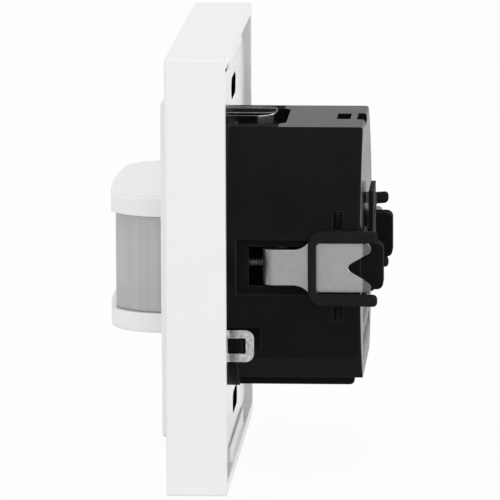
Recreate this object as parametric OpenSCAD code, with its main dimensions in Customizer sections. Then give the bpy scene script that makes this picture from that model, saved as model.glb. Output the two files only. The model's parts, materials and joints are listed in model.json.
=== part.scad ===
// Motion-sensing wall switch for a 60 mm wall box: a frame, a cover with the sensor head,
// a steel support ring, and an insert that two spreading claws hold in the box.
// +Z is up and the front faces -Y. The origin is the middle of the box screw pattern,
// on the rear face of the support ring. Lengths are in millimetres.

/* [Frame] */
// How far the square frame reaches past the support ring on each side
frame_margin = 5; // [4:0.1:9]
// Depth of the frame, from its rear rim to its front face
frame_d = 11.1; // [10:0.1:14]
// Thickness of the frame's side walls
frame_wall = 2; // [1.4:0.1:2.6]
// Thickness of the frame's front face
frame_face_t = 2.2; // [1.6:0.1:3]
// How far the frame's rim stands behind the support ring
rim_back = 1; // [0.4:0.1:1.6]
// Radius of the frame's outer edges
frame_edge_r = 0.4; // [0.2:0.1:1.4]
// Thickness of the collar and ribs behind the frame's face
frame_rib_t = 1.4; // [1:0.1:1.8]

/* [Cover] */
// Width and height of the square cover plate
plate_w = 63; // [60:0.5:65]
// Thickness of the cover plate
plate_t = 1.8; // [1.4:0.1:2.4]
// How far the cover plate stands in front of the frame
plate_proud = 1.5; // [0.5:0.1:2]
// Radius of the cover plate's front edges
plate_edge_r = 1.2; // [0.4:0.1:1.3]
// Gap between the cover plate and the frame
plate_gap = 0.3; // [0.15:0.05:0.6]

/* [Sensor head] */
// Width of the head
head_w = 45.4; // [42:0.2:50]
// Height of the head
head_h = 25.8; // [24:0.2:30]
// Height of the head's middle above the frame's middle
head_z = -0.6; // [-2:0.1:2]
// How far the head stands in front of the cover plate
head_d = 11.3; // [11.2:0.1:14]
// Radius of the head's corners, seen from above
head_corner_r = 11; // [8:0.5:11]
// Radius of the head's bowed front
head_bow_r = 150; // [90:5:300]
// Thickness of the caps above and below the lens
head_cap_t = 3.8; // [3:0.1:4.4]
// Radius of the caps' outer edges
head_cap_edge_r = 0.8; // [0.3:0.1:1]
// How far the lens lies behind the edge of the caps
lens_inset = 1; // [0.6:0.1:1.5]
// Thickness of the lens
lens_t = 0.7; // [0.5:0.1:1]

/* [Support ring] */
// Sheet left outside the box screw slots
ring_edge = 2.4; // [1.8:0.1:4]
// Thickness of the ring's sheet
ring_t = 1; // [0.8:0.1:1.2]
// Distance between opposite box screws
box_screw_pitch = 60; // [59:0.5:61]
// Width of the box screw slots
box_slot_w = 4.2; // [3.6:0.1:4.6]
// Length of the slots beside the claws
side_slot_l = 6.2; // [5:0.1:7]
// Length of the slots above and below the insert
end_slot_l = 13; // [9:0.5:15]
// Width of the side tabs
tab_w = 6; // [5:0.1:6.6]
// Height of the side tabs off the middle
tab_z = 15.5; // [14.5:0.1:16]
// How far the side tabs reach behind the ring
tab_l = 5.1; // [4.6:0.1:5.6]
// Width of the end tongues
tongue_w = 16; // [12:0.5:18]
// How far the end tongues reach behind the ring
tongue_l = 8.3; // [6:0.1:9]
// How deep the tongues lie under the top of the insert housing
tongue_sink = 1.7; // [1:0.1:2]

/* [Insert] */
// Radius of the insert housing
body_r = 27.9; // [27.5:0.1:28.4]
// Depth of the insert housing behind the ring
body_d = 25; // [24.5:0.1:30]
// Height of the housing's flat top above the middle
body_top = 24.2; // [23.6:0.1:24.4]
// Depth of the housing's flat bottom below the middle
body_bottom = 22.9; // [22.6:0.1:23.4]
// Wall of the insert housing
body_wall = 1.8; // [1.4:0.1:2]
// Thickness of the insert's front cover
cap_t = 2; // [1.6:0.1:2.4]

/* [Terminals] */
// Distance between neighbouring terminals
terminal_pitch = 7.4; // [7:0.1:7.6]
// Width of a terminal insulator
terminal_w = 6; // [5.4:0.1:6.2]
// Radius of the wire entries
wire_r = 1.5; // [1.2:0.05:1.7]

/* [Claws] */
// Thickness of the claw's sheet
claw_t = 1.2; // [1:0.1:1.4]
// Width of the claw's narrow part
claw_neck_w = 6.6; // [6:0.1:7]
// Width of the claw's wide part
claw_blade_w = 9.2; // [8.6:0.1:9.4]
// Distance of the claw's foot behind the ring
claw_foot_y = 6.9; // [6.6:0.1:7.4]
// Outward bend of the claw's tips, in degrees
claw_tip_bend = 35; // [20:1:45]
// How far the left claw lies below the right one
claw_drop = 2.1; // [0:0.1:2.4]
// Largest swing of the claws, in degrees
claw_swing = 12; // [8:1:12]
// Distance of the claw screws from the inner face of the claws
screw_inset = 4.9; // [4.4:0.1:5.4]
// Radius of the claw screws
screw_r = 1.5; // [1.4:0.05:1.6]
// Width of the rubber of the claw bands
band_w = 2.2; // [1.8:0.1:2.4]
// Thickness of the claw bands
band_t = 1.45; // [1.2:0.05:1.6]

/* [Release slide] */
// Travel of the slide that opens the terminals
slide_travel = 1.8; // [1:0.1:2]
// Width of the slide's plate
slide_w = 12; // [9:0.5:14]
// Height of the slide's plate above the middle
slide_top = 11; // [10:0.5:12]

/* [Hidden] */
$fn = 64;

// Allowances: past a face in a cut, where forms join, and between pieces that fit, run or move
over = 1;
lap = 0.1;
fit_gap = 0.15;
run_gap = 0.05;
move_gap = 0.3;

// Sheet bends of the support ring
bend_r = 0.5;

// Widths that follow from the box screws
ring_w = box_screw_pitch + side_slot_l + 2 * ring_edge;
frame_w = ring_w + 2 * frame_margin;

// Tongues of the ring, and the floor of the pockets that they lie in
tongue_top = body_top - tongue_sink;
pocket_floor = tongue_top - ring_t - fit_gap;
pocket_wall = 1.15;

// Planes from front to rear
frame_front = rim_back - frame_d;
plate_front = frame_front - plate_proud;
plate_back = plate_front + plate_t;
cap_front = -ring_t - cap_t;

// Claws and their screws
claw_out = body_r - 0.3;
claw_in = claw_out - claw_t;
screw_x = claw_in - screw_inset;
claw_pivot_x = screw_x - 4.5;
claw_pivot_y = claw_foot_y + claw_t / 2;
claw_bend_r = 2;
claw_steps = 8;
claw_fold_y = body_d + 0.4;
claw_tip_l = 2;
claw_tip_r = 1;
claw_notch_y = body_d - 2.2;
claw_apex_r = 0.9;
claw_flare_start = 12.6;
claw_flare_end = 15.4;
foot_end = claw_pivot_x - claw_t / 2;
foot_slot = [2 * screw_r + 1.2, 2 * screw_r + 0.4];
nut_r = 2.2;
nut_l = claw_neck_w - 0.2;
nut_y = claw_foot_y + claw_t + nut_r + run_gap;
channel_half = claw_blade_w / 2 + 0.5;
channel_floor = claw_in - move_gap;
channel_y = 2;
chamber_half = claw_neck_w / 2 + 0.4;
chamber_front = claw_foot_y - (claw_out - claw_pivot_x) * sin(claw_swing) - 0.4;
chamber_back = nut_y + nut_r + 1.85;
screw_head_r = 2.8;
screw_head_t = 1.8;
screw_end = chamber_back - 0.8;
screw_slot = [0.8, 1];

// Insert cap
cap_edge = 0.9;
cap_w = 2 * (screw_x + screw_head_r + move_gap + cap_edge);
cap_h = 53;
cap_corner_r = 3;
cap_ledge = [24, 1.6];

// Frame's ribs and screw notches
frame_rib_d = 4.5;
frame_rib_z = [-24, -12, 12, 24];
frame_notch_room = 3;
frame_boss_w = 38;
frame_boss_step = 0.6;

// Cover and its sensor unit
opening_w = plate_w + 2 * plate_gap;
skirt_t = 1.4;
skirt_d = 2.8;
head_steps = 4;
lens_h = head_h - 2 * head_cap_t;
head_window_w = head_w - 2 * head_corner_r;
post_r = 1.5;
post_l = 1.2;
unit_step = [1, 3];
unit_w = cap_w - unit_step[0];
unit_h = cap_h - unit_step[1];
unit_wall = 1.2;
unit_corner_r = 2;
unit_back = cap_front - move_gap;
pcb_t = 1.2;
pcb_w = unit_w - 2 * unit_wall - 2 * fit_gap;
pcb_h = unit_h - 2 * unit_wall - 2 * fit_gap;
post_place = [pcb_w / 2 - 2 * post_r, pcb_h / 2 - 2 * post_r];
sensor_pcb_front = plate_back + post_l;
sensor_pcb_back = sensor_pcb_front + pcb_t;
clip_w = 6;
clip_t = 1.2;
clip_z = 11;

// Sensors on the front of the sensor board
pyro_r = 4.6;
pyro_h = 4.2;
pyro_flange_r = 5.1;
pyro_flange_t = 0.5;
pyro_window = [5, 4, 0.4];
light_x = 10;
lamp_x = -10;
small_sensor_r = 1.5;
small_sensor_h = 3;

// Dials on the rear of the sensor board
dial_x = 13;
dial_z = -12;
dial_r = 2.6;
dial_t = 1.2;
dial_shaft_r = 1;
dial_slot_w = 0.7;
trimmer_w = 6.4;
trimmer_t = unit_back - dial_t - fit_gap - move_gap - sensor_pcb_back;

// Plug between the sensor unit and the insert
pin_pitch = 2.54;
pin_count = 5;
pin_w = 0.64;
plug_z = 14;
plug_strip_t = 2.4;
plug_strip = [pin_pitch * pin_count, pin_pitch * 2];
plug_reach = 4;
socket_wall = 0.8;

// Support ring
ring_chamfer = 7;
ring_bridge = 2.5;
ring_open = [2 * (screw_x - screw_r - ring_bridge), 2 * tongue_top];
ring_open_r = 2;
tab_window = [3.3, 2.9];
tab_out = body_r - 4;
tab_corner_r = 1.6;
tongue_corner_r = 3;

// Insert housing
lip_d = 1.75;
lip_h = 2.3;
body_edge_r = 0.6;
edge_steps = 5;
tab_floor = tab_out - ring_t - move_gap;
tab_room = [0.7, 1.2];
nub_y = [0.8, 3];
nub_w = 2.4;
nub_land = 0.3;
nub_base = 1.6;
cavity_r = body_r - body_wall;
cavity_top = pocket_floor - pocket_wall;
cavity_bottom = cavity_top;
cavity_back = body_d - body_wall;
cavity_w = 2 * (tab_floor - body_wall);
rail = [25, 1.9];
rail_y = [lip_d - lap, body_d - 1.65];
rail_r = 0.9;
crease_angle = 50;
crease_depth = 0.35;
tongue_room = [2, 2.1];
tongue_slant = 1.5;
side_slot = [1.8, 3.3, 2.4];
side_rib = [0.6, 0.4];
side_slot_y = body_d - 4.2;
side_slot_z = claw_blade_w / 2 + 4;
top_hole = [7, 2.6];
top_hole_y = body_d - 4.1;
rear_notch = [8, 1.6, 1.4];

// Main board, between the walls of the claws' chambers
main_pcb_front = 3.2;
main_pcb_back = main_pcb_front + pcb_t;
main_pcb_half = foot_end - move_gap - body_wall - move_gap;

// Parts on the main board: limits along X and Z, and the rear end
board_edge = 1;
relay_x = [board_edge - main_pcb_half, -2.6];
relay_z = [0, 18];
relay_end = main_pcb_back + 11.6;
film_x = [0.5, main_pcb_half - board_edge];
film_z = [4, 9.5];
film_end = main_pcb_back + 10.6;
fuse_x = [2, 10.5];
fuse_z = [-4, 0];
fuse_end = main_pcb_back + 8.1;
capacitor_r = 4;
capacitor_place = [main_pcb_half - board_edge - capacitor_r, 15];
capacitor_end = main_pcb_back + 12.1;
choke_r = [4.4, 3.6];
choke_place = [board_edge + choke_r[0] - main_pcb_half, -4.6];
choke_flange_t = 1;
choke_end = main_pcb_back + 7.4;

// Claw bands and the lugs they hook over
band_in = claw_out + fit_gap;
band_out = band_in + band_t;
band_half = claw_blade_w / 2 + fit_gap + band_w;
band_bar_y = claw_flare_end;
band_bar_w = 1.5;
band_end = body_d + 3.2;
band_end_r = 1;
band_corner_r = 2.2;
band_strap_t = 0.9;
band_strap_w = 1.6;
lug_x = [claw_in - 4.5, claw_in - 0.7];
lug_half = claw_blade_w / 2 - move_gap;
lug_end = body_d + 4.2;
lug_corner_r = 1.2;

// Terminals
terminal_count = 4;
terminal_reach = (terminal_count - 1) / 2 * terminal_pitch + terminal_w / 2;
terminal_seat = 0.7;
terminal_h = 10.8;
terminal_l = 13;
terminal_floor = min(cavity_bottom, sqrt(cavity_r * cavity_r - terminal_reach * terminal_reach));
terminal_bottom = terminal_seat - terminal_floor;
terminal_top = terminal_bottom + terminal_h;
terminal_z = [terminal_bottom, terminal_top];
terminal_wall = 0.8;
terminal_front = body_d - terminal_l;
wire_l = 3;
wire_edge = 3;
wire_z = [terminal_top - wire_edge, terminal_bottom + wire_edge];
clamp_t = 0.5;
clamp_w = 4;
clamp_gap = 1;

// Release slide
slide_stand = 0.75;
slide_plate_t = 0.85;
slide_front = body_d + slide_stand;
slide_back = slide_front + slide_plate_t;
slide_bottom = -(wire_z[0] + wire_r + move_gap + slide_travel);
slide_stem = [3.8, 6];
slide_slot_w = slide_stem[0] + 2 * move_gap;
slide_shoulder = [1, 1.2];
slide_grip = [5, 1.4, 0.45];
slide_grip_z = 6;
slide_comb_z = [terminal_top + 2.4, terminal_top + 3.8];
slide_comb_y = [body_d - 7, body_d - 3.6];
slide_finger_z = terminal_top + 0.6;
slide_finger_w = 1.6;
slide_beam = 2;

// General shapes

// Points on an arc about a centre, from one angle to another
function arc(centre, r, from, to, steps) =
  [for (i = [0:steps]) let (turn = from + (to - from) * i / steps) centre + r * [cos(turn), sin(turn)]];

// Extrude along Y from y0 to y1, with the outline in X and Z
module along_y(y0, y1) translate([0, y1, 0]) rotate([90, 0, 0]) linear_extrude(y1 - y0) children();

// Extrude along X from x0 to x1, with the outline in Y and Z
module along_x(x0, x1) translate([x0, 0, 0]) rotate([90, 0, 90]) linear_extrude(x1 - x0) children();

// Extrude along Z from z0 to z1, with the outline in X and Y
module along_z(z0, z1) translate([0, 0, z0]) linear_extrude(z1 - z0) children();

// A round bar along Y
module rod(r, y0, y1, x = 0, z = 0)
  translate([x, y0, z]) rotate([-90, 0, 0]) cylinder(r = r, h = y1 - y0);

// The right side's forms, and the left side's: mirrored and lower
module both_sides() {
  children();
  left_side() children();
}

module left_side() translate([0, 0, -claw_drop]) mirror([1, 0, 0]) children();

// A block given by its limits on each axis
module block(x, y, z)
  translate([x[0], y[0], z[0]]) cube([x[1] - x[0], y[1] - y[0], z[1] - z[0]]);

// A centred rectangle with round corners
module round_rect(w, h, r) {
  square([w, h - 2 * r], center = true);
  square([w - 2 * r, h], center = true);
  for (x = [-1, 1], z = [-1, 1])
    translate([x * (w / 2 - r), z * (h / 2 - r)]) circle(r);
}

// A slot with round ends, centred, along its first axis
module slot_outline(l, w) {
  square([l - w, w], center = true);
  for (x = [-1, 1])
    translate([x * (l - w) / 2, 0]) circle(w / 2);
}

// A square block with its front edges and its four corners rounded
module soft_block(w, y0, y1, r) {
  intersection() {
    along_y(y0, y1) round_rect(w, w, r);
    along_x(-w, w) translate([y0, 0]) front_profile(w, y1 - y0, r);
    along_z(-w, w) translate([0, y0]) mirror([1, -1]) front_profile(w, y1 - y0, r);
  }
}

// Side outline of a soft block: depth along the first axis, round at the start
module front_profile(w, d, r) {
  translate([r, -w / 2]) square([d - r, w]);
  translate([0, r - w / 2]) square([r + lap, w - 2 * r]);
  for (z = [-1, 1])
    translate([r, z * (w / 2 - r)]) circle(r);
}

// Outline of the sensor head seen from above, with its rear edge on the first axis
module head_outline(inset) {
  w = head_w - 2 * inset;
  d = head_d - inset;
  r = head_corner_r - inset;
  intersection() {
    union() {
      translate([-w / 2, r - d]) square([w, d - r]);
      translate([r - w / 2, -d]) square([w - 2 * r, d]);
      for (x = [-1, 1])
        translate([x * (w / 2 - r), r - d]) circle(r);
    }
    translate([0, head_bow_r - inset - d]) circle(head_bow_r - inset, $fn = 256);
    translate([-w, -2 * d]) square([2 * w, 2 * d]);
  }
}

// Frame and cover

module frame() color("whitesmoke") {
  inner = frame_w - 2 * frame_wall;
  collar = opening_w + 2 * frame_rib_t;
  difference() {
    union() {
      difference() {
        soft_block(frame_w, frame_front, rim_back, frame_edge_r);
        along_y(frame_front + frame_face_t, rim_back + over) square(inner, center = true);
      }
      along_y(frame_front + frame_face_t - lap, -ring_t) square(collar, center = true);
      frame_ribs(collar / 2 - lap, inner / 2 + lap);
      frame_bosses(inner / 2 + lap);
    }
    along_y(frame_front - over, rim_back + over) square(opening_w, center = true);
    for (a = [0:90:270])
      rotate([0, a, 0]) frame_screw_notch(collar);
  }
}

// Stiffening ribs between the collar and the walls
module frame_ribs(x0, x1) {
  y0 = frame_front + frame_face_t;
  for (a = [0:90:270], z = frame_rib_z)
    rotate([0, a, 0])
      block([x0, x1], [y0 - lap, y0 + frame_rib_d], [z - frame_rib_t / 2, z + frame_rib_t / 2]);
}

// Bosses inside the walls that centre the support ring
module frame_bosses(wall)
  for (a = [0:90:270])
    rotate([0, a, 0])
      block([ring_w / 2 + move_gap, wall], [frame_front + frame_face_t - lap, rim_back - frame_boss_step],
            [-frame_boss_w / 2, frame_boss_w / 2]);

// Gap in the collar that leaves room for a box screw's head
module frame_screw_notch(collar) {
  notch_w = end_slot_l + frame_notch_room;
  block([opening_w / 2 - over, collar / 2 + over], [frame_front + frame_face_t, over],
        [-notch_w / 2, notch_w / 2]);
}

module cover_plate() color("white") {
  window_h = lens_h - 2 * lens_t;
  skirt_end = plate_back + skirt_d;
  difference() {
    union() {
      soft_block(plate_w, plate_front, plate_back, plate_edge_r);
      along_y(plate_back - lap, skirt_end) difference() {
        square(plate_w, center = true);
        square(plate_w - 2 * skirt_t, center = true);
      }
      cover_posts();
    }
    block([-head_window_w / 2, head_window_w / 2], [plate_front - over, plate_back + over],
          [head_z - window_h / 2, head_z + window_h / 2]);
  }
  translate([0, 0, head_z]) {
    head_cap();
    mirror([0, 0, 1]) head_cap();
  }
}

// Posts behind the plate that carry the sensor board
module cover_posts()
  for (x = [-1, 1], z = [-1, 1])
    rod(post_r, plate_back - lap, sensor_pcb_front, x * post_place[0], z * post_place[1]);

// Cap above the lens, with its edges rounded in layers
module head_cap() {
  base = head_h / 2 - head_cap_t;
  translate([0, plate_front + lap / 2, 0]) hull() {
    for (i = [0:head_steps]) {
      turn = 90 * i / head_steps;
      along_z(base, head_h / 2 - head_cap_edge_r * (1 - sin(turn)))
        head_outline(head_cap_edge_r * (1 - cos(turn)), $fn = 48);
    }
  }
}

module fresnel_lens() color("gainsboro")
  translate([0, plate_front, head_z]) along_z(-lens_h / 2, lens_h / 2)
  difference() {
    head_outline(lens_inset);
    head_outline(lens_inset + lens_t);
    translate([-head_w, -run_gap]) square([2 * head_w, over]);
  }

// Sensor unit behind the cover

module sensor_pcb() color("seagreen")
  along_y(sensor_pcb_front, sensor_pcb_back) round_rect(pcb_w, pcb_h, unit_corner_r);

module pyro_sensor() color("silver") translate([0, 0, head_z]) difference() {
  union() {
    rod(pyro_flange_r, sensor_pcb_front - pyro_flange_t, sensor_pcb_front);
    rod(pyro_r, sensor_pcb_front - pyro_h, sensor_pcb_front - pyro_flange_t);
  }
  along_y(sensor_pcb_front - pyro_h - over, sensor_pcb_front - pyro_h + pyro_window[2])
    square([pyro_window[0], pyro_window[1]], center = true);
}

// A small sensor or lamp with a domed end, standing on the sensor board
module domed_part(x) {
  dome_y = sensor_pcb_front - small_sensor_h + small_sensor_r;
  rod(small_sensor_r, dome_y, sensor_pcb_front, x, head_z);
  translate([x, dome_y, head_z]) sphere(small_sensor_r);
}

module light_sensor() color("gold") domed_part(light_x);

module status_lamp() color("crimson") domed_part(lamp_x);

module trimmer_bodies() color("royalblue")
  for (x = [-1, 1])
    difference() {
      block([x * dial_x - trimmer_w / 2, x * dial_x + trimmer_w / 2],
            [sensor_pcb_back, sensor_pcb_back + trimmer_t],
            [dial_z - trimmer_w / 2, dial_z + trimmer_w / 2]);
      rod(dial_shaft_r + run_gap, sensor_pcb_back - over, sensor_pcb_back + trimmer_t + over,
          x * dial_x, dial_z);
    }

// A setting dial with a screwdriver cross and its shaft
module dial(x) {
  front = unit_back - dial_t - fit_gap;
  difference() {
    union() {
      rod(dial_r, front, unit_back - fit_gap, x, dial_z);
      rod(dial_shaft_r, sensor_pcb_back + move_gap, front + lap, x, dial_z);
    }
    for (size = [[dial_slot_w, 1.5 * dial_r], [1.5 * dial_r, dial_slot_w]])
      translate([x, 0, dial_z]) along_y(unit_back - fit_gap - dial_t / 2, unit_back + over)
        square(size, center = true);
    // Pointer notch in the rim, towards the top at rest
    translate([x, 0, dial_z + dial_r]) along_y(front - over, unit_back + over) circle(dial_slot_w);
  }
}

module lux_dial() color("orange") dial(-dial_x);

module time_dial() color("orange") dial(dial_x);

module plug_header() color("darkslategray") {
  translate([0, 0, plug_z]) along_y(sensor_pcb_back, sensor_pcb_back + plug_strip_t)
    square(plug_strip, center = true);
  plug_grid() along_y(sensor_pcb_back + plug_strip_t - lap, cap_front + plug_reach)
    square(pin_w, center = true);
}

// The places of the plug's pins
module plug_grid()
  for (i = [0:pin_count - 1], z = [-0.5, 0.5])
    translate([(i - (pin_count - 1) / 2) * pin_pitch, 0, plug_z + z * pin_pitch]) children();

module sensor_back_cover() color("lightgray") {
  window = [plug_strip[0] + 2 * socket_wall, plug_strip[1] + 2 * socket_wall];
  difference() {
    along_y(plate_back + fit_gap, unit_back) round_rect(unit_w, unit_h, unit_corner_r);
    along_y(plate_back, unit_back - unit_wall)
      square([unit_w - 2 * unit_wall, unit_h - 2 * unit_wall], center = true);
    translate([0, 0, plug_z]) along_y(unit_back - 2 * unit_wall, unit_back + over)
      square(window, center = true);
    for (x = [-1, 1])
      rod(dial_r + move_gap, unit_back - 2 * unit_wall, unit_back + over, x * dial_x, dial_z);
  }
  for (a = [0, 180], z = [-clip_z, clip_z])
    rotate([0, a, 0]) unit_clip(z);
}

// Spring clip that snaps over the edge of the insert's front cover
module unit_clip(z) {
  x0 = unit_w / 2 - lap;
  x1 = cap_w / 2 + fit_gap;
  y0 = unit_back - 3 * clip_t;
  along_z(z - clip_w / 2, z + clip_w / 2) {
    translate([x0, y0]) square([x1 + clip_t - x0, clip_t]);
    translate([x1, y0]) square([clip_t, -ring_t - fit_gap - y0]);
  }
}

// Support ring

module support_ring() color("lightsteelblue") {
  difference() {
    along_y(-ring_t, 0) difference() {
      intersection() {
        square(ring_w, center = true);
        rotate(45) square(sqrt(2) * (ring_w - ring_chamfer), center = true);
      }
      round_rect(ring_open[0], ring_open[1], ring_open_r);
      for (x = [-1, 1])
        translate([x * box_screw_pitch / 2, 0]) slot_outline(side_slot_l, box_slot_w);
      for (z = [-1, 1])
        translate([0, z * box_screw_pitch / 2]) slot_outline(end_slot_l, box_slot_w);
      ring_cut();
      rotate(180) ring_cut();
    }
    both_sides() rod(screw_r + fit_gap, -ring_t - over, over, screw_x);
  }
  for (a = [0, 180])
    rotate([0, a, 0]) {
      side_tab();
      end_tongue();
    }
}

// Blanks that the side tab and the tongue are bent from, to the right and at the top
module ring_cut() {
  x0 = ring_open[0] / 2 - lap;
  z0 = ring_open[1] / 2 - lap;
  translate([x0, -tab_z - tab_w / 2 - bend_r]) square([tab_out + bend_r - x0, tab_w + 2 * bend_r]);
  translate([-tongue_w / 2 - bend_r, z0]) square([tongue_w + 2 * bend_r, tongue_top + bend_r - z0]);
}

// A bent edge: a quarter ring from a sheet that lies flat to one that stands back from it
module bend_profile() intersection() {
  difference() {
    circle(bend_r + ring_t);
    circle(bend_r);
  }
  square(2 * (bend_r + ring_t));
}

// Side tab with the window that a nub on the housing snaps into
module side_tab() {
  difference() {
    union() {
      along_z(-tab_z - tab_w / 2, -tab_z + tab_w / 2)
        translate([tab_out + bend_r, bend_r]) rotate(180) bend_profile();
      along_x(tab_out - ring_t, tab_out) translate([bend_r, -tab_z]) tab_outline(tab_l - bend_r);
    }
    block([tab_out - 2 * ring_t, tab_out + over], [bend_r / 2, bend_r / 2 + tab_window[0]],
          [-tab_z - tab_window[1] / 2, -tab_z + tab_window[1] / 2]);
  }
}

// Outline of the side tab: round at its free end
module tab_outline(l) {
  translate([0, -tab_w / 2]) square([l - tab_corner_r, tab_w]);
  translate([0, tab_corner_r - tab_w / 2]) square([l, tab_w - 2 * tab_corner_r]);
  for (z = [-1, 1])
    translate([l - tab_corner_r, z * (tab_w / 2 - tab_corner_r)]) circle(tab_corner_r);
}

// Tongue in the pocket of the housing's flat top
module end_tongue() {
  l = tongue_l - bend_r;
  r = tongue_corner_r;
  along_x(-tongue_w / 2, tongue_w / 2) translate([bend_r, tongue_top + bend_r])
    rotate(180) bend_profile();
  along_z(tongue_top - ring_t, tongue_top) {
    translate([-tongue_w / 2, bend_r]) square([tongue_w, l - r]);
    translate([r - tongue_w / 2, bend_r]) square([tongue_w - 2 * r, l]);
    for (x = [-1, 1])
      translate([x * (tongue_w / 2 - r), tongue_l - r]) circle(r);
  }
}

// Insert

module insert_cap() color("dimgray") {
  room = 2 * socket_wall + 2 * fit_gap;
  window = [plug_strip[0] + room, plug_strip[1] + room];
  difference() {
    along_y(cap_front, -ring_t) round_rect(cap_w, cap_h, cap_corner_r);
    translate([0, 0, plug_z]) along_y(cap_front - over, over) square(window, center = true);
    both_sides() rod(screw_head_r + move_gap, cap_front - over, over, screw_x);
  }
  for (z = [cavity_top - fit_gap - cap_ledge[1], fit_gap - cavity_bottom])
    block([-cap_ledge[0] / 2, cap_ledge[0] / 2], [-ring_t - lap, main_pcb_front], [z, z + cap_ledge[1]]);
}

module header_socket() color("black") difference() {
  translate([0, 0, plug_z]) along_y(cap_front, main_pcb_front)
    square([plug_strip[0] + 2 * socket_wall, plug_strip[1] + 2 * socket_wall], center = true);
  plug_grid() along_y(cap_front - over, main_pcb_front - socket_wall)
    square(pin_w + 2 * fit_gap, center = true);
}

module insert_housing() color([0.09, 0.09, 0.09]) {
  difference() {
    union() {
      housing_form();
      housing_lip();
      bottom_rail();
    }
    difference() {
      housing_cavity();
      both_sides() claw_block();
    }
    both_sides() {
      claw_cut();
      side_slot_cut();
    }
    for (a = [0, 180])
      rotate([0, a, 0]) tab_recess();
    tongue_recess_cut();
    mirror([0, 0, 1]) tongue_recess_cut();
    rear_cuts();
  }
  both_sides() {
    band_lug();
    side_slot_ribs();
  }
  for (a = [0, 180])
    rotate([0, a, 0]) tab_nub();
}

// A turned solid about Y, from an outline of radius and depth
module turned() rotate([-90, 0, 0]) rotate_extrude($fn = 128) children();

// Round housing with a flat top and bottom, and a rounded rear edge
module housing_form() {
  r = body_edge_r;
  difference() {
    intersection() {
      turned() polygon(concat([[0, 0], [body_r, 0]], arc([body_r - r, body_d - r], r, 0, 90, edge_steps),
                              [[0, body_d]]));
      along_x(-2 * body_r, 2 * body_r)
        polygon(concat([[-over, body_top], [-over, -body_bottom], [body_d + over, -body_bottom],
                        [body_d + over, body_top - 2 * r]],
                       arc([body_d - r, body_top - r], r, 0, 90, edge_steps)));
    }
    // Flat facet along the lower edges
    for (side = [0, 1])
      mirror([side, 0, 0]) rotate([0, crease_angle, 0])
        block([body_r - crease_depth, body_r + over], [lip_d, body_d + over], [-body_r / 2, body_r / 2]);
  }
}

// Rail under the flat bottom, with a round lower rear edge
module bottom_rail() {
  z = -body_bottom - rail[1];
  along_x(-rail[0] / 2, rail[0] / 2)
    polygon(concat([[rail_y[0], lap - body_bottom], [rail_y[0], z]],
                   arc([rail_y[1] - rail_r, z + rail_r], rail_r, -90, 0, edge_steps),
                   [[rail_y[1], lap - body_bottom]]));
}

// Lip below the flat bottom, behind the support ring
module housing_lip() intersection() {
  rod(body_r - lap / 2, 0, lip_d);
  block([-body_r, body_r], [-over, lip_d + over], [-body_bottom - lip_h, lap - body_bottom]);
}

// Room inside the housing, open to the front
module housing_cavity() intersection() {
  rod(cavity_r, -over, cavity_back);
  block([-cavity_w / 2, cavity_w / 2], [-over, body_d], [-cavity_bottom, cavity_top]);
}

// Walls round the chamber of the right claw's foot
module claw_block()
  block([foot_end - move_gap - body_wall, body_r], [-2 * over, chamber_back + body_wall],
        [-chamber_half - body_wall, chamber_half + body_wall]);

// Channel, chamber and screw bore of the right claw
module claw_cut() {
  block([channel_floor, body_r + over], [channel_y, body_d + over], [-channel_half, channel_half]);
  z = [-chamber_half, chamber_half];
  block([claw_pivot_x + move_gap, body_r + over], [chamber_front, chamber_back], z);
  block([foot_end - move_gap, body_r + over], [claw_foot_y - fit_gap, chamber_back], z);
  rod(screw_r + run_gap, -over, chamber_front + over, screw_x);
}

// Two small slots beside the claw, each with a rib on its floor
module side_slot_cut()
  for (z = [-side_slot_z, side_slot_z])
    translate([0, side_slot_y, z]) along_x(body_r - side_slot[2], body_r + over)
      square([side_slot[0], side_slot[1]], center = true);

module side_slot_ribs()
  for (z = [-side_slot_z, side_slot_z])
    translate([0, side_slot_y + lap, z])
      along_x(body_r - side_slot[2] - lap, body_r - side_slot[2] + side_rib[1])
        square([side_rib[0], side_slot[1] - side_rib[0]], center = true);

// Recess for the right side tab, and the nub that holds it
module tab_recess() {
  half = tab_w / 2 + tab_room[0];
  block([tab_floor, body_r + over], [-over, tab_l + tab_room[1]], [-tab_z - half, -tab_z + half]);
}

module tab_nub()
  along_z(-tab_z - nub_w / 2, -tab_z + nub_w / 2)
    polygon([[tab_floor - nub_base, nub_y[0]], [tab_floor, nub_y[0]],
             [tab_out + nub_land, nub_y[1] - nub_land], [tab_out + nub_land, nub_y[1]],
             [tab_floor - nub_base, nub_y[1]]]);

// Pocket for the tongue, with slanted rear corners
module tongue_recess_cut() {
  half = tongue_w / 2 + tongue_room[0];
  y1 = tongue_l + tongue_room[1];
  y0 = y1 - tongue_slant;
  along_z(pocket_floor, body_r)
    polygon([[-half, -over], [half, -over], [half, y0], [half - tongue_slant, y1], [tongue_slant - half, y1],
             [-half, y0]]);
}

// Windows for the terminals, the slide's slot, the hole in the top and the notch in its rear edge
module rear_cuts() {
  y = [cavity_back - over, body_d + over];
  half = terminal_w / 2 + fit_gap;
  for (i = [0:terminal_count - 1])
    block([terminal_x(i) - half, terminal_x(i) + half], y,
          [terminal_bottom - fit_gap, terminal_top + fit_gap]);
  block([-slide_slot_w / 2, slide_slot_w / 2], y,
        [-slide_stem[1] / 2 - slide_travel - move_gap, slide_stem[1] / 2 + move_gap]);
  translate([0, top_hole_y]) along_z(cavity_top - over, body_top + over) square(top_hole, center = true);
  block([-rear_notch[0] / 2, rear_notch[0] / 2], [body_d - rear_notch[1], body_d + over],
        [body_top - rear_notch[2], body_top + over]);
}

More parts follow.
